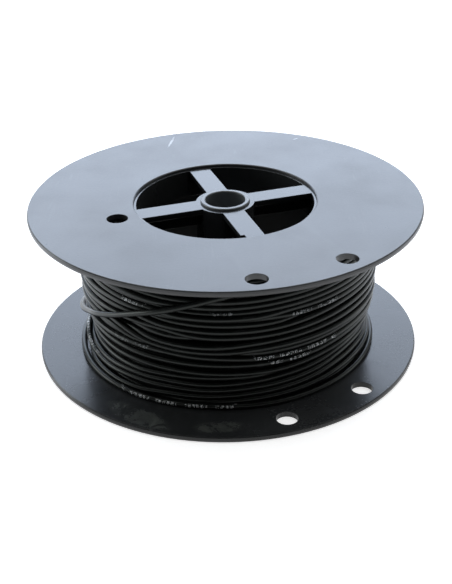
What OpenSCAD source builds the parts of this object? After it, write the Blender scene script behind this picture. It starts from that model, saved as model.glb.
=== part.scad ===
// Wire spool: two round flanges on a spoked core, wound with insulated stranded wire.
// Millimetres, +Z up. The origin lies on the spool's axis, in the lower flange's outer face.

/* [Flanges] */
// Outside diameter of both flanges
flange_d = 165; // [150:1:180]
// Thickness of a flange
flange_t = 2.4; // [2:0.1:4]
// Distance between the inner faces of the two flanges
traverse = 60.8; // [45:0.2:66]
// Diameter of the opening in the middle of a flange
opening_d = 77; // [70:1:84]
// Chamfer along the rim and round the opening's outer edge
flange_chamfer = 0.35; // [0.2:0.05:0.6]
// How far the rim's parting line stands out of the rim's edges
rim_draft = 0.15; // [0.05:0.05:0.4]
// Direction of the middle between the upper flange's rim holes, in degrees
upper_flange_turn = -66.8; // [-180:0.1:180]
// Direction of the middle between the lower flange's rim holes, in degrees
lower_flange_turn = -57.5; // [-180:0.1:180]

/* [Flange holes] */
// Diameter of the holes for the wire's ends
hole_d = 8.8; // [6:0.1:11]
// Material between a rim hole and the rim
rim_hole_margin = 4.5; // [1.5:0.25:6]
// Angle between a flange's two rim holes
rim_hole_step = 29.5; // [15:0.1:60]
// Material between the start hole and the barrel's outside
start_hole_margin = 2.5; // [1:0.25:5]
// Angle from the middle between the rim holes to the start hole
start_hole_turn = 91; // [40:1:180]

/* [Barrel] */
// Wall of the barrel tube
barrel_wall = 2; // [1.5:0.1:3]

/* [Hub spiders] */
// Depth of a spider's outer face below the flange's outer face
spider_recess = 1.2; // [0.6:0.1:1.8]
// Wall of a spider's ring
ring_wall = 1.05; // [0.8:0.05:1.5]
// Depth of a spider's ring, from the spider's outer face into the barrel
ring_depth = 12; // [8:1:20]
// Number of spokes
spoke_count = 4; // [3:1:5]
// Width of a spoke
spoke_w = 9.2; // [6:0.2:12]
// Thickness of a spoke
spoke_t = 2.4; // [1.6:0.2:4]
// Thickness of the web that stiffens a spoke from behind
web_t = 2; // [1.2:0.2:3]
// Height of that web, from the back of the spoke
web_h = 6; // [3:0.5:10]
// Wall of the boss round the arbor sleeve
boss_wall = 1.95; // [1.4:0.05:3]
// Length of the boss, from the spider's outer face
boss_len = 16; // [10:1:22]
// Direction of the first spoke of both spiders, in degrees
spoke_turn = 17.5; // [0:0.5:90]
// Width of the gate notch beside one spoke's outer end
notch_w = 1.6; // [1:0.1:3]
// Length of the gate notch along the spoke
notch_len = 3.6; // [1:0.1:5]

/* [Arbor sleeve] */
// Bore of the arbor sleeve, for a 16 mm (5/8 inch) rod
bore_d = 16.8; // [14:0.1:20]
// Wall of the arbor sleeve
sleeve_wall = 1.9; // [1.2:0.1:3]
// Depth of the sleeve's ends below the flanges' outer faces
sleeve_recess = 0.2; // [0:0.1:0.6]
// Chamfer on the sleeve's edges
sleeve_chamfer = 0.3; // [0.1:0.05:0.5]

/* [Wire] */
// Outside diameter of the insulated wire
wire_d = 2.4; // [2.2:0.1:2.7]
// Space between neighbouring turns of the outer layer
turn_space = 0.27; // [0.2:0.01:0.5]
// Outside diameter of the outer layer of turns
winding_d = 126; // [112:1:132]
// How far the last turn lies out from the outer layer, centre to centre
last_turn_step = 3; // [2.9:0.1:4]
// Diameter of one copper strand
strand_d = 0.28; // [0.2:0.01:0.3]
// How far the strands stand out of the wire's cut end
strand_out = 1.2; // [0.5:0.1:3]

/* [Fits] */
// Gap between bonded pieces, on the radius
bond_gap = 0.05; // [0.02:0.01:0.1]
// Gap between the wound wire and what it lies on
wire_gap = 0.1; // [0.05:0.01:0.15]
// Gap between neighbouring strands
strand_gap = 0.02; // [0.01:0.01:0.05]

/* [Hidden] */
$fn = 96;
// Overlap of a cutting tool past the faces that it cuts
cut = 1;
plastic = [0.10, 0.11, 0.12];
insulation = [0.07, 0.07, 0.075];
copper = [0.72, 0.42, 0.26];

// Core
height = traverse + 2 * flange_t;
opening_r = opening_d / 2;
barrel_r = opening_r + barrel_wall;
ring_r = opening_r - bond_gap;
ring_middle_r = ring_r - ring_wall / 2;
sleeve_r = bore_d / 2 + sleeve_wall;
boss_bore_r = sleeve_r + bond_gap;
boss_r = boss_bore_r + boss_wall;
rim_hole_r = flange_d / 2 - rim_hole_margin - hole_d / 2;
start_hole_r = barrel_r + start_hole_margin + hole_d / 2;

// Outer layer: it winds down from the upper flange, and its last turn lies out on the lower one
loop_rings = 24;
loop_sides = 6;
wire_r = wire_d / 2;
layer_r = winding_d / 2 - wire_r;
top_z = flange_t + traverse - wire_gap - wire_r;
bottom_z = flange_t + wire_gap + wire_r;
layer_loops = floor((top_z - bottom_z) / (wire_d + turn_space));
pitch = (top_z - bottom_z) / layer_loops;
// The last turn is not quite whole, so that the wire rises clear of where that turn began
last_loop = 0.9;
// Share of a loop before the bottom where the wire starts to move out, and over which it does
step_lead = 0.12;
step_length = 0.4;
all_loops = layer_loops + last_loop;
// Direction in which the loose turn leaves the winding
leave_turn = 130;
// A loop of straight chords dips inside its circle by this factor
chord_dip = cos(180 / loop_rings);
inner_layers_r = layer_r * chord_dip - wire_r - wire_gap;

// Loose turn: it rises across the winding's left and front and ends behind, under the upper
// flange. Each point is its direction in degrees, its distance from the axis and its height.
loose_sides = 8;
loose_steps = 3;
loose_route = [
  [140, 65.0, 4.6], [154, 65.2, 9.4], [168, 65.0, 15.4], [182, 64.5, 19.9], [196, 64.4, 24.0],
  [210, 64.5, 29.8], [224, 64.6, 35.7], [238, 64.5, 41.8], [252, 64.5, 47.2], [267, 64.4, 52.6],
  [282, 64.5, 56.6], [298, 64.6, 59.4], [314, 64.8, 60.9], [330, 65.0, 61.4], [346, 65.1, 61.3],
  [362, 65.2, 60.7], [378, 65.4, 59.9], [394, 65.7, 59.0], [408, 66.2, 58.1], [420, 67.0, 57.4]
];

// Strands of the cut end: one in the middle and this many rings round it
strand_rings = 2;
strand_step = strand_d + strand_gap;

function unit(v) = v / norm(v);
function from_axis(p) = [p[1] * cos(p[0]), p[1] * sin(p[0]), p[2]];
function along_turn(angle) = [-sin(angle), cos(angle), 0];
function ease(t) = let (s = min(max(t, 0), 1)) s * s * (3 - 2 * s);

// Where the outer layer's wire is after u loops from its upper end
function layer_angle(u) = leave_turn + 360 * (u - all_loops);
function layer_out(u) = layer_r + last_turn_step * ease((u - layer_loops + step_lead) / step_length);
function layer_point(u) = from_axis([layer_angle(u), layer_out(u), max(top_z - pitch * u, bottom_z)]);

// The layer's wire, with a straight run of one diameter at both ends
layer_count = floor(all_loops * loop_rings);
layer_turns = [for (i = [0 : layer_count]) layer_point(all_loops - (layer_count - i) / loop_rings)];
layer_start_angle = layer_angle(all_loops - layer_count / loop_rings);
layer_end = layer_turns[layer_count] + wire_d * along_turn(leave_turn);
layer_path = concat(
  [layer_turns[0] - wire_d * along_turn(layer_start_angle)],
  layer_turns,
  [layer_end]
);

// A smooth curve through points, with equal steps between each two of them
function between(a, b, c, d, t) =
  (2 * b + (c - a) * t + (2 * a - 5 * b + 4 * c - d) * t * t + (3 * b - a - 3 * c + d) * t * t * t) / 2;
function smooth(points, steps) = let (last = len(points) - 1) concat(
  [for (i = [0 : last - 1]) for (k = [0 : steps - 1])
    between(points[max(i - 1, 0)], points[i], points[i + 1], points[min(i + 2, last)], k / steps)],
  [points[last]]
);
loose_path = concat(
  [layer_end, layer_end + wire_d * along_turn(leave_turn)],
  [for (p = smooth(loose_route, loose_steps)) from_axis(p)]
);

// The corners of a tube's ring: square to the path, with the first corner away from the axis
function heading(path, i) = unit(path[min(i + 1, len(path) - 1)] - path[max(i - 1, 0)]);
function corners(path, i, sides) = let (
    ahead = heading(path, i),
    side = unit(cross(ahead, [path[i][0], path[i][1], 0])),
    out = cross(side, ahead)
  )
  [for (k = [0 : sides - 1]) path[i] + wire_r * (cos(360 * k / sides) * out + sin(360 * k / sides) * side)];

// The least distance between corners of rings that lie about one loop apart
function ring_distance(a, b) = min([for (p = a) for (q = b) norm(p - q)]);
function least_gap(rings) = min([
  for (i = [0 : len(rings) - loop_rings - 2]) for (k = [-1 : 1])
    ring_distance(rings[i], rings[i + loop_rings + k])
]);
layer_corners = [for (i = [0 : len(layer_path) - 1]) corners(layer_path, i, loop_sides)];
echo("loops in the outer layer", all_loops, "pitch in mm", pitch);
echo("least gap of the outer layer to itself in mm", least_gap(layer_corners));

// A closed tube of triangles over rings of corners
module tube(rings) {
  sides = len(rings[0]);
  last = len(rings) - 1;
  points = [for (ring = rings) each ring];
  walls = [for (i = [0 : last - 1]) for (k = [0 : sides - 1])
    let (a = i * sides + k, b = i * sides + (k + 1) % sides)
    each [[a, a + sides, b], [b, a + sides, b + sides]]];
  start = [for (k = [1 : sides - 2]) [0, k, k + 1]];
  end = [for (k = [1 : sides - 2]) [last * sides, last * sides + k + 1, last * sides + k]];
  polyhedron(points, concat(walls, start, end), convexity = 10);
}

module hole(distance, angle) {
  rotate(angle) translate([distance, 0, -cut]) cylinder(d = hole_d, h = flange_t + 2 * cut);
}

// A flange with its outer face at z = 0 and its inner face above
module flange() {
  rim_r = flange_d / 2;
  edge_r = rim_r - rim_draft;
  color(plastic) difference() {
    rotate_extrude() polygon([
      [opening_r + flange_chamfer, 0],
      [edge_r - flange_chamfer, 0],
      [edge_r, flange_chamfer],
      [rim_r, flange_t / 2],
      [edge_r, flange_t - flange_chamfer],
      [edge_r - flange_chamfer, flange_t],
      [opening_r, flange_t],
      [opening_r, flange_chamfer]
    ]);
    hole(rim_hole_r, -rim_hole_step / 2);
    hole(rim_hole_r, rim_hole_step / 2);
    hole(start_hole_r, start_hole_turn);
  }
}

module spoke() {
  translate([0, -spoke_w / 2, 0]) cube([opening_r, spoke_w, spoke_t]);
  translate([0, -web_t / 2, 0]) cube([opening_r, web_t, spoke_t + web_h]);
}

// A spider with its outer face at z = 0: a ring, spokes and a boss round the sleeve's bore
module spider() {
  notch_angle = 360 / spoke_count;
  color(plastic) difference() {
    union() {
      rotate_extrude() translate([ring_r - ring_wall, 0]) square([ring_wall, ring_depth]);
      intersection() {
        cylinder(r = ring_middle_r, h = spoke_t + web_h);
        for (i = [0 : spoke_count - 1]) rotate(360 * i / spoke_count) spoke();
      }
      cylinder(r = boss_r, h = boss_len);
    }
    translate([0, 0, -cut]) cylinder(r = boss_bore_r, h = boss_len + 2 * cut);
    rotate(notch_angle) translate([ring_r - ring_wall - notch_len, spoke_w / 2 - notch_w, -cut])
      cube([notch_len, notch_w + cut, spoke_t + 2 * cut]);
  }
}

// Puts a piece that is drawn outer face down at the upper end, outer face up
module at_upper_end(depth, angle) {
  translate([0, 0, height - depth]) rotate(angle) rotate([180, 0, 0]) children();
}

module upper_flange() {
  at_upper_end(0, upper_flange_turn) flange();
}

module lower_flange() {
  rotate(lower_flange_turn) flange();
}

module upper_spider() {
  at_upper_end(spider_recess, spoke_turn) spider();
}

module lower_spider() {
  translate([0, 0, spider_recess]) rotate(spoke_turn) spider();
}

module barrel_tube() {
  color(plastic) translate([0, 0, flange_t]) rotate_extrude()
    translate([opening_r, 0]) square([barrel_wall, traverse]);
}

module arbor_sleeve() {
  length = height - 2 * sleeve_recess;
  bore_r = bore_d / 2;
  color(plastic) translate([0, 0, sleeve_recess]) rotate_extrude() polygon([
    [bore_r + sleeve_chamfer, 0],
    [sleeve_r - sleeve_chamfer, 0],
    [sleeve_r, sleeve_chamfer],
    [sleeve_r, length - sleeve_chamfer],
    [sleeve_r - sleeve_chamfer, length],
    [bore_r + sleeve_chamfer, length],
    [bore_r, length - sleeve_chamfer],
    [bore_r, sleeve_chamfer]
  ]);
}

module wire_inner_layers() {
  inside_r = barrel_r + wire_gap;
  color(insulation) translate([0, 0, flange_t + wire_gap]) rotate_extrude()
    translate([inside_r, 0]) square([inner_layers_r - inside_r, traverse - 2 * wire_gap]);
}

module wire_outer_layer() {
  color(insulation) tube(layer_corners);
}

module wire_loose_turn() {
  color(insulation) tube([for (i = [0 : len(loose_path) - 1]) corners(loose_path, i, loose_sides)]);
}

// The strands' cut ends, standing out of the loose turn's end face
module conductor_strand_ends() {
  last = len(loose_path) - 1;
  ahead = heading(loose_path, last);
  color(copper) translate(loose_path[last]) rotate([0, acos(ahead[2]), atan2(ahead[1], ahead[0])]) {
    cylinder(d = strand_d, h = strand_out, $fn = 16);
    for (ring = [1 : strand_rings]) for (side = [0 : 5]) for (k = [0 : ring - 1])
      rotate(60 * side) translate([ring * strand_step, 0, 0]) rotate(120)
        translate([k * strand_step, 0, 0]) cylinder(d = strand_d, h = strand_out, $fn = 16);
  }
}

upper_flange();
lower_flange();
upper_spider();
lower_spider();
barrel_tube();
arbor_sleeve();
wire_inner_layers();
wire_outer_layer();
wire_loose_turn();
conductor_strand_ends();
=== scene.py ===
import math

import bpy
import numpy as np
from mathutils import Matrix, Vector


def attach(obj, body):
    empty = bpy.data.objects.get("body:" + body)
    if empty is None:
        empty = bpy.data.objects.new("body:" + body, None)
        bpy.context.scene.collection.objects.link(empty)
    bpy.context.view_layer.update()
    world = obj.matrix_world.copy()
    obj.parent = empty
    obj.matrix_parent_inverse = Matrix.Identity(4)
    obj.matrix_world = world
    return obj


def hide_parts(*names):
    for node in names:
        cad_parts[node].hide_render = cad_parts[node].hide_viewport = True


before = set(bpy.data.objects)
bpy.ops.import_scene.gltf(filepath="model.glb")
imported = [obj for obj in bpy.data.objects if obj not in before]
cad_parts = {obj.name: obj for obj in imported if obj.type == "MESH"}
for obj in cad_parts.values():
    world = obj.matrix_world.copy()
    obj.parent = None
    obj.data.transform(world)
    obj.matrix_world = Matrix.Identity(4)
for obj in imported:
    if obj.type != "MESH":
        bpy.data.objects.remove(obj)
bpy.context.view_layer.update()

MM = 0.001

# The winding, in millimetres and degrees
WIRE_D = 2.4
WIRE_R = WIRE_D / 2
FLANGE_T = 2.4
TRAVERSE = 60.8  # space between the flanges
LEAVE_TURN = 130  # direction in which the loose turn leaves the winding
LAST_R = 64.8  # the last turn's distance from the axis, where the loose turn leaves it
BOTTOM_Z = 3.7  # height of a turn's middle that lies on the lower flange
TOP_Z = 61.9  # and of one that lies under the upper flange
RINGS = 120  # rings of a wire's tube in one turn
SIGHTS = (212, 228, 244, 268, 292, 324)  # directions at which the turns' heights are listed
WAIST_Z = 12.5  # the winding is narrowest here
BELOW_TURNS = 19
RAISED_TURN = 21  # an outer turn that climbs over its neighbours on the left
BORE_R = 41.0
CORE_R = 57.4
CORE_GAP = 0.15  # between the core and a flange
RIB = 1.1  # depth of the core's ribs

DIM = 0.03  # the world's light


# ---------------------------------------------------------------- camera

def add_camera():
    data = bpy.data.cameras.new("camera")
    data.lens = 68.61
    data.sensor_width = 36
    cam = bpy.data.objects.new("camera", data)
    bpy.context.collection.objects.link(cam)
    place = Vector((-0.000454, -0.42903, 0.253473))
    target = Vector((-0.000454, 0, 0.021059))
    turn = (target - place).to_track_quat("-Z", "Y").to_matrix().to_4x4()
    roll = Matrix.Rotation(math.radians(-1.196), 4, "Z")
    cam.matrix_world = Matrix.Translation(place) @ turn @ roll
    bpy.context.scene.camera = cam


# ---------------------------------------------------------------- node helpers

class Nodes:
    """Adds nodes to a new material or world, and sets or links their inputs by name."""

    def __init__(self, owner, output="ShaderNodeOutputMaterial"):
        self.owner = owner
        owner.use_nodes = True
        self.tree = owner.node_tree
        self.tree.nodes.clear()
        self.output = self.add(output)

    def add(self, kind, inputs=None, **settings):
        node = self.tree.nodes.new(kind)
        for key, value in settings.items():
            setattr(node, key, value)
        for key, value in (inputs or {}).items():
            self.put(node.inputs[key], value)
        return node

    def put(self, socket, value):
        if isinstance(value, bpy.types.NodeSocket):
            self.tree.links.new(value, socket)
        else:
            socket.default_value = value

    def math(self, operation, a, b=0.0, c=0.0):
        return self.add("ShaderNodeMath", {0: a, 1: b, 2: c}, operation=operation).outputs[0]

    def noise(self, vector, scale, detail=3.0, roughness=0.5, distortion=0.0):
        inputs = {
            "Vector": vector, "Scale": scale, "Detail": detail, "Roughness": roughness,
            "Distortion": distortion,
        }
        return self.add("ShaderNodeTexNoise", inputs).outputs["Fac"]

    def spread(self, value, low, high, to_low, to_high):
        inputs = {
            "Value": value, "From Min": low, "From Max": high, "To Min": to_low, "To Max": to_high,
        }
        return self.add("ShaderNodeMapRange", inputs).outputs["Result"]

    def blend(self, factor, a, b):
        node = self.add("ShaderNodeMix", data_type="RGBA")
        self.put(node.inputs[0], factor)
        self.put(node.inputs[6], a)
        self.put(node.inputs[7], b)
        return node.outputs[2]

    def seen(self):
        """1 for what the camera, a reflection or a clear thing sees, 0 for the light that falls on things."""
        path = self.add("ShaderNodeLightPath").outputs
        mirrored = self.math("MAXIMUM", path["Is Glossy Ray"], path["Is Transmission Ray"])
        return self.math("MAXIMUM", path["Is Camera Ray"], mirrored)

    def bump(self, height, strength, distance, normal=None):
        inputs = {"Height": height, "Strength": strength, "Distance": distance}
        if normal is not None:
            inputs["Normal"] = normal
        return self.add("ShaderNodeBump", inputs).outputs["Normal"]

    def finish(self, shader):
        self.tree.links.new(shader, self.output.inputs["Surface"])
        return self.owner


def scratch_lines(n, place, turn, scale, width):
    """Thin broken lines in one direction: 1 on a line, 0 elsewhere."""
    stretched = n.add(
        "ShaderNodeMapping",
        {"Vector": place, "Rotation": (0, 0, turn), "Scale": (scale, scale * 0.035, scale)},
    ).outputs[0]
    wander = n.noise(stretched, 1.0, 2.0, 0.5, 0.35)
    line = n.math("ABSOLUTE", n.math("SUBTRACT", wander, 0.5))
    thin = n.spread(line, 0.0, width, 1.0, 0.0)
    broken = n.spread(n.noise(place, 60.0, 2.0), 0.56, 0.66, 0.0, 1.0)
    return n.math("MULTIPLY", thin, broken)


# ---------------------------------------------------------------- materials

def patch_of(n, place, centre, size, turn):
    """A soft-edged oval about a point of a flat face, in metres: 1 in its middle, 0 outside."""
    moved = n.add(
        "ShaderNodeMapping",
        {
            "Vector": place, "Location": centre, "Rotation": (0, 0, turn),
            "Scale": (size[0], size[1], 1.0),
        },
        vector_type="TEXTURE",
    ).outputs[0]
    flat = n.add("ShaderNodeVectorMath", {0: moved, 1: (1, 1, 0)}, operation="MULTIPLY").outputs[0]
    far = n.add("ShaderNodeVectorMath", {0: flat}, operation="LENGTH").outputs["Value"]
    return n.spread(far, 0.55, 1.0, 1.0, 0.0)


def any_patch(n, place, patches):
    """1 inside any of the patches, each of which is (centre, size, turn)."""
    inside = 0.0
    for centre, size, turn in patches:
        inside = n.math("MAXIMUM", inside, patch_of(n, place, centre, size, turn))
    return inside


def black_plastic(name, tone, rough, wear, shine=0.5, dust=(), nicks=()):
    """Moulded black polystyrene: a smooth shine, flow mottling, scuffs and soft edges.

    dust and nicks are (centre, size, turn) of dull dusty patches and of small pale marks.
    """
    n = Nodes(bpy.data.materials.new(name))
    place = n.add("ShaderNodeTexCoord").outputs["Object"]
    rounded = n.add("ShaderNodeBevel", {"Radius": 0.0003}, samples=4).outputs["Normal"]
    mottle = n.noise(place, 38.0, 3.0, 0.55)
    fine = n.noise(place, 900.0, 2.0, 0.6)
    patch = n.noise(place, 95.0, 4.0, 0.6, 0.4)
    scuff = n.spread(patch, 0.56, 0.72, 0.0, wear)
    dusty = any_patch(n, place, dust)
    cloud = n.spread(n.noise(place, 120.0, 5.0, 0.65, 1.2), 0.42, 0.7, 0.0, 1.0)
    dusty = n.math("MULTIPLY", dusty, cloud)
    nicked = any_patch(n, place, nicks)
    broken = n.spread(n.noise(place, 1400.0, 2.0), 0.35, 0.55, 0.0, 1.0)
    nicked = n.math("MULTIPLY", nicked, broken)
    lines = n.math(
        "MAXIMUM",
        scratch_lines(n, place, 0.4, 210.0, 0.012),
        scratch_lines(n, place, 1.9, 260.0, 0.01),
    )
    lines = n.math("MULTIPLY", lines, wear * 0.35)
    pointed = n.add("ShaderNodeNewGeometry").outputs["Pointiness"]
    edge = n.spread(pointed, 0.52, 0.6, 0.0, wear)
    worn = n.math("ADD", n.math("MULTIPLY", scuff, 0.2), n.math("ADD", lines, edge))
    worn = n.math("MINIMUM", worn, 1.0)
    dark = [tone * 0.85, tone * 0.95, tone, 1]
    light = [tone * 1.25, tone * 1.35, tone * 1.4, 1]
    base = n.blend(mottle, dark, light)
    colour = n.blend(n.math("MULTIPLY", worn, 0.5), base, [0.07, 0.074, 0.078, 1])
    colour = n.blend(n.math("MULTIPLY", dusty, 0.6), colour, [0.15, 0.165, 0.145, 1])
    colour = n.blend(n.math("MULTIPLY", nicked, 0.55), colour, [0.75, 0.78, 0.8, 1])
    roughness = n.spread(mottle, 0.3, 0.7, rough - 0.04, rough + 0.05)
    roughness = n.math("ADD", roughness, n.math("MULTIPLY", dusty, 0.15))
    roughness = n.math("ADD", roughness, n.math("MULTIPLY", scuff, 0.03))
    roughness = n.math("ADD", roughness, n.math("MULTIPLY", fine, 0.1))
    waves = n.bump(n.noise(place, 22.0, 2.0, 0.4), 0.12, 0.0006, rounded)
    grain = n.bump(fine, 0.16, 0.00012, waves)
    cut = n.bump(n.math("SUBTRACT", 1.0, lines), 0.25, 0.0001, grain)
    shader = n.add(
        "ShaderNodeBsdfPrincipled",
        {
            "Base Color": colour, "Roughness": roughness, "IOR": 1.57, "Normal": cut,
            "Specular IOR Level": shine,
        },
    )
    return n.finish(shader.outputs[0])


def wire_insulation(name, tone):
    """Extruded PVC: black with a soft sheen, rubbed in places, with strokes of faded print."""
    # The print, in metres along the wire: a stroke's cell, a letter and a word with their gaps
    stroke_cell = 0.00045
    letter_step = 0.0019
    word_step = 0.0121
    levels = 24.0
    half_band = 0.09  # of the wire's girth
    lay_length = 0.014  # the strands under the insulation turn once in this length
    lay_waves = 37.7  # six waves round the wire

    n = Nodes(bpy.data.materials.new(name))
    uv = n.add("ShaderNodeUVMap", uv_map="UVMap").outputs["UV"]
    parts = n.add("ShaderNodeSeparateXYZ", {"Vector": uv}).outputs
    along = parts["X"]
    around = parts["Y"]
    place = n.add("ShaderNodeTexCoord").outputs["Object"]
    mottle = n.noise(place, 70.0, 3.0, 0.55)
    fine = n.noise(place, 1500.0, 2.0, 0.6)
    rub = n.spread(n.noise(place, 160.0, 4.0, 0.6, 0.3), 0.58, 0.74, 0.0, 1.0)
    dark = [tone * 0.78, tone * 0.86, tone * 0.8, 1]
    light = [tone * 1.25, tone * 1.38, tone * 1.28, 1]
    base = n.blend(mottle, dark, light)
    base = n.blend(n.math("MULTIPLY", rub, 0.25), base, [0.045, 0.045, 0.046, 1])
    # Short strokes of print in uneven groups, on the side that the mesh names
    printed = n.add("ShaderNodeAttribute", attribute_name="print").outputs["Fac"]
    uneven = n.math("MULTIPLY_ADD", n.noise(place, 130.0, 2.0), 0.004, along)
    cell = n.math("FLOOR", n.math("DIVIDE", along, stroke_cell))
    level = n.math("FLOOR", n.math("MULTIPLY", around, levels))
    spot = n.add("ShaderNodeCombineXYZ", {"X": cell, "Y": level}).outputs[0]
    chance = n.add("ShaderNodeTexWhiteNoise", {"Vector": spot}).outputs["Value"]
    stroke = n.math("LESS_THAN", chance, 0.6)
    letter = n.math("LESS_THAN", n.math("FRACT", n.math("DIVIDE", uneven, letter_step)), 0.7)
    word = n.math("LESS_THAN", n.math("FRACT", n.math("DIVIDE", uneven, word_step)), 0.8)
    side = n.add("ShaderNodeAttribute", attribute_name="print_side").outputs["Fac"]
    band = n.math("LESS_THAN", n.math("ABSOLUTE", n.math("SUBTRACT", around, side)), half_band)
    faded = n.spread(n.noise(place, 700.0, 2.0), 0.35, 0.6, 0.25, 1.0)
    ink = n.math("MULTIPLY", n.math("MULTIPLY", stroke, letter), n.math("MULTIPLY", word, band))
    ink = n.math("MULTIPLY", n.math("MULTIPLY", ink, printed), faded)
    colour = n.blend(ink, base, [0.78, 0.8, 0.8, 1])
    roughness = n.spread(mottle, 0.3, 0.7, 0.30, 0.36)
    roughness = n.math("ADD", roughness, n.math("MULTIPLY", rub, 0.06))
    # The strands' lay shows faintly through the insulation
    twist = n.math("ADD", n.math("DIVIDE", along, lay_length), around)
    lay = n.math("SINE", n.math("MULTIPLY", twist, lay_waves))
    soft = n.bump(n.math("MULTIPLY", lay, mottle), 0.05, 0.0001)
    grain = n.bump(fine, 0.1, 0.0001, soft)
    shader = n.add(
        "ShaderNodeBsdfPrincipled",
        {
            "Base Color": colour, "Roughness": roughness, "IOR": 1.5, "Normal": grain,
            "Specular Tint": (0.93, 1.0, 0.95, 1), "Specular IOR Level": 0.28,
        },
    )
    return n.finish(shader.outputs[0])


def copper_strand(name):
    """Bare drawn copper, a little tarnished."""
    n = Nodes(bpy.data.materials.new(name))
    place = n.add("ShaderNodeTexCoord").outputs["Object"]
    tarnish = n.noise(place, 2600.0, 3.0, 0.6)
    colour = n.blend(tarnish, [0.62, 0.30, 0.16, 1], [0.86, 0.50, 0.31, 1])
    roughness = n.spread(tarnish, 0.3, 0.7, 0.22, 0.38)
    drawn = n.bump(n.noise(place, 5200.0, 2.0), 0.15, 0.00004)
    shader = n.add(
        "ShaderNodeBsdfPrincipled",
        {"Base Color": colour, "Roughness": roughness, "Metallic": 1.0, "Normal": drawn},
    )
    return n.finish(shader.outputs[0])


def floor_paper(name):
    """White paper that takes the object's shadow, and stays white beyond the lamps' reach."""
    n = Nodes(bpy.data.materials.new(name))
    place = n.add("ShaderNodeTexCoord").outputs["Object"]
    far = n.add("ShaderNodeVectorMath", {0: place}, operation="LENGTH").outputs["Value"]
    white = n.math("MULTIPLY", n.seen(), n.spread(far, 0.5, 3.0, 0.68, 1.0))
    paper = n.add("ShaderNodeBsdfDiffuse", {"Color": [0.86, 0.865, 0.87, 1]})
    glow = n.add("ShaderNodeEmission", {"Color": [1, 1, 1, 1], "Strength": white})
    both = n.add("ShaderNodeAddShader", {0: paper.outputs[0], 1: glow.outputs[0]})
    return n.finish(both.outputs[0])


# ---------------------------------------------------------------- wire paths

def rows_to_turns(rows, rise):
    """The heights along a wire that winds one turn per row: RINGS heights a turn."""
    at = [k + (sight - LEAVE_TURN) / 360 for k in range(len(rows)) for sight in SIGHTS]
    heights = [z for row in rows for z in row]
    steps = np.arange(len(rows) * RINGS + 1) / RINGS
    heights = np.interp(steps, at, heights)
    heights += np.where(steps < at[0], (steps - at[0]) * rise, 0)
    heights += np.where(steps > at[-1], (steps - at[-1]) * rise, 0)
    return even_out(heights, 3)


def even_out(values, width):
    """A moving average along a wire, with weights like a bell, that keeps both ends."""
    reach = math.ceil(3 * width)
    bell = np.exp(-0.5 * (np.arange(-reach, reach + 1) / width) ** 2)
    padded = np.pad(values, reach, mode="reflect", reflect_type="odd")
    return np.convolve(padded, bell / bell.sum(), mode="valid")


def wobble(rng, count, size, width):
    """Smooth random bends of about that size, in millimetres."""
    bends = even_out(rng.normal(size=count), width)
    return bends * size / bends.std()


# The outer layer's turns from the top down: heights of the wire's middle at the sights
OUTER = [
    (61.4, 61.3, 61.0, 60.8, 61.0, 61.3), (58.9, 58.7, 58.3, 58.0, 58.3, 58.8),
    (56.4, 56.2, 55.7, 55.2, 55.6, 56.3), (54.0, 53.7, 53.0, 52.3, 53.0, 53.9),
    (51.6, 51.2, 50.2, 49.6, 50.8, 52.0), (49.8, 49.3, 46.7, 46.6, 48.6, 50.2),
    (48.6, 46.3, 45.6, 45.0, 46.0, 48.4), (46.9, 45.2, 44.2, 42.5, 43.8, 45.0),
    (42.2, 42.6, 41.6, 41.6, 42.4, 42.0), (40.6, 41.4, 40.4, 38.9, 40.2, 40.7),
    (38.5, 39.7, 38.4, 36.0, 37.7, 40.0), (36.2, 37.4, 36.2, 33.3, 34.9, 36.6),
    (34.6, 35.2, 34.4, 31.8, 33.2, 34.6), (31.2, 31.0, 29.8, 29.5, 31.6, 33.0),
    (33.9, 30.7, 26.9, 27.0, 28.7, 29.3), (31.3, 29.4, 27.4, 26.6, 26.2, 27.3),
    (23.9, 25.2, 24.9, 24.8, 23.9, 25.2), (21.1, 20.8, 21.4, 21.4, 20.7, 23.0),
    (16.0, 16.3, 16.9, 17.1, 16.4, 19.8), (11.6, 12.4, 13.4, 14.6, 14.4, 15.5),
    (7.8, 9.4, 11.1, 11.1, 12.6, 16.8), (6.3, 7.3, 8.6, 8.3, 10.2, 12.4),
    (3.9, 4.2, 5.5, 6.5, 8.4, 10.0), (3.7, 3.7, 3.7, 4.4, 5.9, 7.4),
    (3.7, 3.7, 3.7, 3.7, 3.7, 3.7),
]
# Where an outer turn lies under its neighbours, or over them: turn, the directions between which
# it does, and how far in it lies, which is below zero for a turn that stands out
SHIFTED = [
    (6, 240, 258, 1.8), (9, 130, 236, 1.8), (9, 300, 490, 1.8), (12, 130, 230, 1.8), (12, 256, 490, 1.8),
    (13, 130, 240, 1.8), (15, 236, 268, 1.8), (19, 290, 490, 1.8), (21, 150, 198, -2.4), (22, 204, 236, -1.8),
    (23, 130, 236, 1.8),
]
# The layer below winds up, and shows between the turns at some of these rows
BELOW = {
    0: (6.2, 6.2, 5.2, 3.7, 3.7, 3.7), 3: (13.4, 13.4, 12.2, 11.2, 11.2, 11.2),
    4: (15.8, 15.8, 16.6, 17.2, 17.2, 17.2), 7: (23.0, 23.0, 24.0, 24.4, 24.4, 24.4),
    8: (25.4, 25.4, 29.3, 29.8, 29.8, 29.8), 9: (27.8, 27.8, 33.0, 35.6, 35.6, 35.6),
    10: (37.3, 37.3, 38.0, 38.0, 38.0, 38.0), 11: (43.2, 43.2, 43.0, 43.0, 43.0, 43.0),
    12: (46.0, 46.0, 45.8, 45.8, 45.8, 45.8), 18: (61.8, 61.8, 61.8, 61.8, 61.8, 61.8),
}
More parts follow.
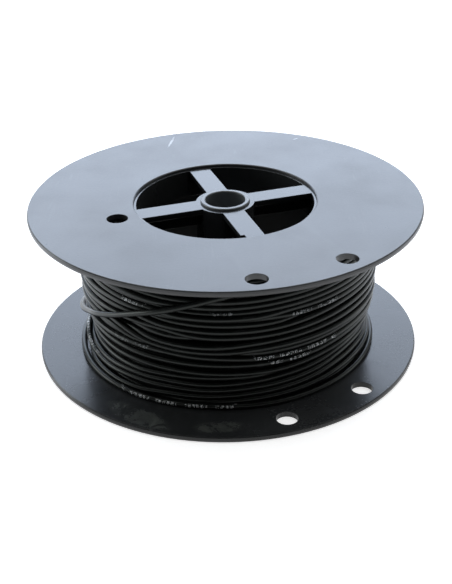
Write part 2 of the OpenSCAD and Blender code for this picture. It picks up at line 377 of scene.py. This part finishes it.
# The last turn's distance from the axis, by direction
LAST_TURN = [
    (130, 62.4), (165, 63.0), (188, 63.4), (200, 64.0), (210, 64.4), (220, 64.6), (239, 64.5),
    (249, 64.0), (260, 63.0), (270, 62.6), (280, 63.4), (291, 63.4), (301, 63.0), (322, 62.8),
    (342, 62.7), (360, 62.8), (420, 64.0), (470, 64.8), (490, 64.8),
]
# The loose turn: direction in degrees, distance from the axis and height
LOOSE_ROUTE = [
    (140, 65.0, 4.6), (154, 65.2, 9.4), (168, 65.0, 15.4), (182, 64.5, 19.9), (196, 64.4, 24.0),
    (210, 64.5, 29.8), (224, 64.6, 35.7), (238, 64.5, 41.8), (252, 64.5, 47.2), (267, 64.4, 52.6),
    (282, 64.5, 56.6), (298, 64.6, 59.4), (314, 64.8, 60.9), (330, 65.0, 61.4), (346, 65.1, 61.3),
    (362, 65.2, 60.7), (378, 65.4, 59.9), (394, 65.7, 59.0), (408, 66.2, 58.1), (420, 67.0, 57.4),
]


def from_axis(angle, distance, height):
    angle = np.radians(angle)
    return np.stack([distance * np.cos(angle), distance * np.sin(angle), height], -1)


def smooth_route(points, steps):
    """A smooth curve through points, with equal steps between each two of them."""
    p = np.array(points, float)
    p = np.vstack([p[:1], p, p[-1:]])
    a, b, c, d = p[:-3, None], p[1:-2, None], p[2:-1, None], p[3:, None]
    t = (np.arange(steps) / steps)[None, :, None]
    curve = (2 * b + (c - a) * t + (2 * a - 5 * b + 4 * c - d) * t**2 + (3 * b - a - 3 * c + d) * t**3) / 2
    return np.vstack([curve.reshape(-1, p.shape[1]), p[-1:]])


def loose_path(r, z):
    """The free end's middle line: straight out of the winding's last turn, then over its turns."""
    turn = math.radians(LEAVE_TURN)
    ahead = np.array([-math.sin(turn), math.cos(turn), 0])
    leave = from_axis(LEAVE_TURN, LAST_R, BOTTOM_Z) + WIRE_D * ahead
    route = smooth_route(LOOSE_ROUTE, 6)
    lies = np.interp(route[:, 0], [134, 150, 345, 375], [0, 1, 1, 0])
    lift = 0.7 * np.exp(-(((route[:, 0] - 188) / 9) ** 2))
    route[:, 1] += (resting_distance(route, r, z) + lift - route[:, 1]) * lies
    return np.vstack([leave, leave + WIRE_D * ahead, from_axis(*route.T)]), leave


def waist(z):
    """How far the winding draws in towards its narrow part, from 0 to 1."""
    return np.exp(-(((z - WAIST_Z) / np.where(z > WAIST_Z, 10.0, 7.0)) ** 2))


def seat(direction, z):
    """Distance of a neat outer turn's middle from the axis: more on the right, less at the waist."""
    right = np.cos(np.radians(direction))
    full = 61.5 + 1.3 * np.maximum(right, 0) ** 1.5
    narrow = 59.4 - 1.7 * np.maximum(-right, 0) ** 4
    return full + (narrow - full) * waist(z)


def settle(direction, outer, below, last_r, loose_r, loose_z):
    """Lets the turns' sections come to rest on each other, at every direction at once.

    Each array is one row per turn and one column per direction. Returns the distances and heights
    of the outer turns and of the turns below them.
    """
    turns = len(outer)
    aim = np.vstack([outer, below, loose_z])
    z = aim.copy()
    r = np.vstack([np.full_like(outer, 64.4), np.full_like(below, 59.4), loose_r])
    is_outer = (np.arange(len(z)) < turns)[:, None]
    depth = np.where(is_outer, 0.6, 2.2) + np.zeros_like(z)  # how far in a turn may sink
    for turn, first, last, inward in SHIFTED:
        inside = np.interp(direction, [first - 8, first, last, last + 8], [0, 1, 1, 0])
        r[turn] -= max(2.7 * inward, 0) * inside
        depth[turn] += inward * inside
    last = turns - 1
    r[last - 2 : last] = 62.2  # the two turns before the last start inside it
    r[last] = last_r
    free = np.ones((len(z), 1))
    free[[last, -1]] = 0  # the last turn and the loose turn stay where they are
    pull = np.where(is_outer, 0.05, 0.03) * free
    hold = np.where(is_outer, 0.10, 0.05) * free
    for step in range(240):
        r -= pull
        z += (aim - z) * hold
        for sweep in range(2):
            apart_r = r[:, None] - r[None]
            apart_z = z[:, None] - z[None]
            distance = np.hypot(apart_r, apart_z) + 1e-9
            push = np.maximum(WIRE_D - distance, 0) / distance * 0.5
            for i in range(len(z)):
                push[i, i] = 0
            r += (apart_r * push).sum(1) * free
            z += (apart_z * push).sum(1) * free
            r[:] = np.where(free > 0, np.maximum(r, seat(direction, z) - depth), r)
            z[:] = np.where(free > 0, np.clip(z, BOTTOM_Z - 0.05, TOP_Z + 0.05), z)
        if step % 4 == 3 and step < 225:
            for rows in (slice(0, turns), slice(turns, len(z) - 1)):
                for grid in (r, z):
                    part = grid[rows]
                    smooth = even_out(part.reshape(-1), 1).reshape(part.shape)
                    grid[rows] = np.where(free[rows] > 0, smooth, part)
    return r[:turns], z[:turns], r[turns:-1], z[turns:-1]


def resting_distance(route, r, z):
    """How near the axis the loose turn can lie on the settled turns, along its route."""
    column = np.round((route[:, 0] - LEAVE_TURN) / 360 * RINGS).astype(int) % RINGS
    rise = np.abs(z[:, column] - route[:, 2])
    reach = np.where(rise < WIRE_D, r[:, column] + np.sqrt(np.maximum(WIRE_D**2 - rise**2, 0)), 0)
    return even_out(np.maximum(reach.max(0), 62.0), 2)


def wound_paths():
    """The middle lines of the outer turns and of the turns below, from the settled sections."""
    rng = np.random.default_rng(7)
    outer = rows_to_turns(OUTER, -2.6)[:-1]
    outer += wobble(rng, len(outer), 0.12, 9)
    lowest = np.maximum(outer, BOTTOM_Z - 0.05)
    outer = lowest.reshape(len(OUTER), RINGS)
    direction = LEAVE_TURN + np.arange(RINGS) * 360 / RINGS
    outer[RAISED_TURN] += 3 * np.exp(-(((direction - 184) / 9) ** 2))
    marks = sorted(BELOW)
    rows = [
        tuple(np.interp(j, marks, [BELOW[m][k] for m in marks]) for k in range(len(SIGHTS)))
        for j in range(BELOW_TURNS)
    ]
    below = rows_to_turns(rows, 3.0)[:-1]
    below += wobble(rng, len(below), 0.2, 7)
    below = np.clip(below, BOTTOM_Z, TOP_Z).reshape(BELOW_TURNS, RINGS)
    last_r = even_out(np.interp(direction, *zip(*LAST_TURN)), 3)
    outer[-1] = BOTTOM_Z - 0.02
    route = smooth_route(LOOSE_ROUTE, 6)
    loose_r = np.interp(direction, route[:, 0], route[:, 1], left=64.8, right=90)
    loose_z = np.interp(direction, route[:, 0], route[:, 2], left=BOTTOM_Z, right=90)
    r, z, low_r, low_z = settle(direction, outer, below, last_r, loose_r, loose_z)
    return direction, r, z, low_r, low_z


def line_of(direction, r, z, ends):
    """One middle line through all turns of a layer, and on through the points of ends."""
    turns = len(r)
    angles = np.concatenate([direction + 360 * k for k in range(turns)])
    distance = even_out(r.reshape(-1), 1.4)
    height = even_out(z.reshape(-1), 1.4)
    line = from_axis(angles, distance, height)
    return np.vstack([line] + ends)


# ---------------------------------------------------------------- meshes

def new_piece(name, points, faces, material):
    """A piece of insulation that rides on the spool, from points in millimetres."""
    mesh = bpy.data.meshes.new(name)
    mesh.from_pydata([tuple(p) for p in np.asarray(points) * MM], [], faces)
    mesh.materials.append(material)
    for polygon in mesh.polygons:
        polygon.use_smooth = len(polygon.vertices) == 4
    piece = bpy.data.objects.new(name, mesh)
    bpy.context.collection.objects.link(piece)
    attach(piece, "root")
    return piece


def tube(name, line, sides, material, marks=()):
    """A wire round a middle line, with cut ends. Its UV is the length and the share of the girth.

    marks are (turn, first direction, last direction, strength, side) of the printed stretches. The
    side is 0.25 on top of the wire and 0.5 where it faces out.
    """
    line = np.asarray(line)
    ahead = np.gradient(line, axis=0)
    ahead /= np.linalg.norm(ahead, axis=1)[:, None]
    side = np.cross(ahead, line * [1, 1, 0])
    side /= np.linalg.norm(side, axis=1)[:, None]
    out = np.cross(side, ahead)
    around = 2 * math.pi * (np.arange(sides) / sides + 0.5)
    rings = line[:, None] + WIRE_R * (
        np.cos(around)[None, :, None] * out[:, None] + np.sin(around)[None, :, None] * side[:, None]
    )
    count = len(line)
    points = rings.reshape(-1, 3)
    faces = []
    for here in range(0, (count - 1) * sides, sides):
        after = here + sides
        faces += [
            (here + k, here + (k + 1) % sides, after + (k + 1) % sides, after + k) for k in range(sides)
        ]
    walls = len(faces)
    faces.append(tuple(range(sides))[::-1])
    faces.append(tuple((count - 1) * sides + k for k in range(sides)))
    piece = new_piece(name, points, faces, material)
    mesh = piece.data
    length = np.concatenate([[0], np.cumsum(np.linalg.norm(np.diff(line, axis=0), axis=1))]) * MM
    ring = np.repeat(np.arange(count - 1), sides)
    corner = np.tile(np.arange(sides), count - 1)
    u = np.stack([length[ring], length[ring], length[ring + 1], length[ring + 1]], 1)
    v = np.stack([corner, corner + 1, corner + 1, corner], 1) / sides
    uv = np.zeros((len(mesh.loops), 2))
    uv[: walls * 4] = np.stack([u.reshape(-1), v.reshape(-1)], 1)
    mesh.uv_layers.new(name="UVMap").data.foreach_set("uv", uv.reshape(-1))
    printed = np.zeros((2, count))
    for turn, first_direction, last_direction, strength, facing in marks:
        begin = turn + (first_direction - LEAVE_TURN) / 360
        end = turn + (last_direction - LEAVE_TURN) / 360
        printed[:, round(begin * RINGS) : round(end * RINGS)] = [[strength], [facing]]
    for layer_name, values in zip(("print", "print_side"), printed):
        layer = mesh.attributes.new(layer_name, "FLOAT", "POINT")
        layer.data.foreach_set("value", np.repeat(values, sides))
    return piece


def ribs(count, first, last, drop):
    """Rounded ribs between two places: pairs of place and depth below their tops."""
    steps = 6
    points = []
    for i in range(count):
        for k in range(steps):
            t = (k + 0.5) / steps
            bulge = math.sqrt(1 - (2 * t - 1) ** 2)
            points.append((first + (last - first) * (i + t) / count, drop * (1 - bulge)))
    return points


def ribbed_core(material):
    """The layers further in: wound ribs on the outside and the ends, and a bore for the barrel."""
    low = FLANGE_T + CORE_GAP
    high = FLANGE_T + TRAVERSE - CORE_GAP
    shoulder = CORE_R - RIB
    profile = [(BORE_R, low + RIB)]
    profile += [(r, low + deep) for r, deep in ribs(6, BORE_R, shoulder, RIB)]
    profile += [(CORE_R - 1.6 * float(waist(z)) - deep, z) for z, deep in ribs(23, low, high, RIB)]
    profile += [(r, high - deep) for r, deep in ribs(6, shoulder, BORE_R, RIB)]
    profile += [(BORE_R, high - RIB)]
    points = [tuple(from_axis(360 * i / RINGS, r, z)) for i in range(RINGS) for r, z in profile]
    size = len(profile)
    faces = []
    for i in range(RINGS):
        here = i * size
        after = (i + 1) % RINGS * size
        faces += [
            (here + k, after + k, after + (k + 1) % size, here + (k + 1) % size) for k in range(size)
        ]
    return new_piece("wire_deep_layers", points, faces, material)


# ---------------------------------------------------------------- stage

def add_floor():
    mesh = bpy.data.meshes.new("floor")
    far = 60
    level = -0.00005
    corners = [(-far, -far), (far, -far), (far, far), (-far, far)]
    mesh.from_pydata([(x, y, level) for x, y in corners], [], [(0, 1, 2, 3)])
    mesh.materials.append(floor_paper("floor_paper"))
    floor = bpy.data.objects.new("floor", mesh)
    bpy.context.collection.objects.link(floor)


def add_light(name, place, target, size, power, colour):
    data = bpy.data.lights.new(name, "AREA")
    data.shape = "RECTANGLE"
    data.size, data.size_y = size
    data.energy = power
    data.color = colour
    lamp = bpy.data.objects.new(name, data)
    bpy.context.collection.objects.link(lamp)
    place = Vector(place)
    turn = (Vector(target) - place).to_track_quat("-Z", "Y").to_matrix().to_4x4()
    lamp.matrix_world = Matrix.Translation(place) @ turn


def add_world():
    """A dim studio that is white at the horizon, where the paper ends."""
    world = bpy.data.worlds.new("studio")
    bpy.context.scene.world = world
    n = Nodes(world, "ShaderNodeOutputWorld")
    ahead = n.add("ShaderNodeTexCoord").outputs["Generated"]
    rise = n.add("ShaderNodeSeparateXYZ", {"Vector": ahead}).outputs["Z"]
    white = n.math("MULTIPLY", n.seen(), n.spread(rise, 0.03, 0.2, 1.0 - DIM, 0.0))
    strength = n.math("ADD", white, DIM)
    light = n.add("ShaderNodeBackground", {"Color": (1, 1, 1, 1), "Strength": strength})
    n.finish(light.outputs[0])


# ---------------------------------------------------------------- the part

def add_wire():
    """The free end and the winding: outer turns, turns below them and a core."""
    wire = wire_insulation("wire_insulation", 0.004)
    direction, r, z, low_r, low_z = wound_paths()
    line, leave = loose_path(r, z)
    loose = tube("loose_turn", line, 20, wire)
    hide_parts("wire_loose_turn")

    turn_end = from_axis(LEAVE_TURN, LAST_R, BOTTOM_Z)
    marks = [
        (16, 279, 317, 1.0, 0.45), (17, 286, 303, 0.8, 0.47), (8, 292, 316, 0.6, 0.47),
        (7, 229, 240, 0.7, 0.47), (6, 266, 273, 0.4, 0.47), (16, 222, 242, 0.3, 0.47),
        (RAISED_TURN, 160, 208, 1.0, 0.32), (24, 229, 273, 1.0, 0.45),
    ]
    outer = tube("outer_turns", line_of(direction, r, z, [turn_end, leave]), 16, wire, marks)
    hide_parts("wire_outer_layer")
    below = tube("second_turns", line_of(direction, low_r, low_z, []), 10, wire)
    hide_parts("wire_inner_layers")
    core = ribbed_core(wire)
    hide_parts("wire_inner_layers")


def finish_solids():
    """Gives the moulded pieces and the strands, which keep their CAD shapes, their materials."""
    nicks = [
        ((-0.0249, 0.0676, 0), (0.0080, 0.0007), 1.39), ((0.0337, 0.0684, 0), (0.0020, 0.0003), 0.5),
    ]
    dust = [
        ((-0.0360, -0.0665, 0), (0.0175, 0.0060), -0.66), ((-0.0040, -0.0752, 0), (0.0120, 0.0042), 0.05),
    ]
    upper = black_plastic("flange_plastic", tone=0.006, rough=0.28, wear=1.0, nicks=nicks)
    lower = black_plastic("lower_flange_plastic", tone=0.006, rough=0.19, wear=1.0, shine=0.345, dust=dust)
    hub = black_plastic("core_plastic", tone=0.005, rough=0.13, wear=0.6, shine=0.47)
    # The barrel and the lower spider get the same black plastic at half its tone and with less shine. This is
    # painted shade for the core's dark inside.
    barrel = black_plastic("barrel_plastic_painted_shade", tone=0.003, rough=0.45, wear=0.3, shine=0.25)
    # The sleeve gets the same black plastic at a far lighter tone. This is painted light for the lit far wall
    # of its bore.
    sleeve = black_plastic("sleeve_plastic_painted_light", tone=0.11, rough=0.3, wear=0.5)
    copper = copper_strand("copper")
    finishes = {
        "upper_flange": upper, "lower_flange": lower, "upper_spider": hub, "lower_spider": barrel,
        "barrel_tube": barrel, "arbor_sleeve": sleeve, "conductor_strand_ends": copper,
    }
    for name, material in finishes.items():
        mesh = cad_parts[name].data
        mesh.materials.clear()
        mesh.materials.append(material)


def main():
    add_camera()
    add_wire()
    finish_solids()
    add_floor()
    cool = (0.95, 1, 1)
    add_light("back_box", (-0.08, 1.0, 0.58), (0, 0, 0.05), (1.6, 1.0), 17.3, (0.87, 1.0, 1.21))
    add_light("top_box", (0.0, 0.35, 1.6), (0, 0.1, 0), (3.4, 2.2), 27, (1, 1, 1))
    add_light("left_box", (-1.2, 0.25, 0.3), (0, 0, 0.04), (0.7, 0.5), 5, cool)
    add_light("right_box", (1.2, 0.25, 0.3), (0, 0, 0.04), (0.7, 0.5), 2, cool)
    add_world()
    bpy.context.scene.view_settings.view_transform = "Standard"


main()
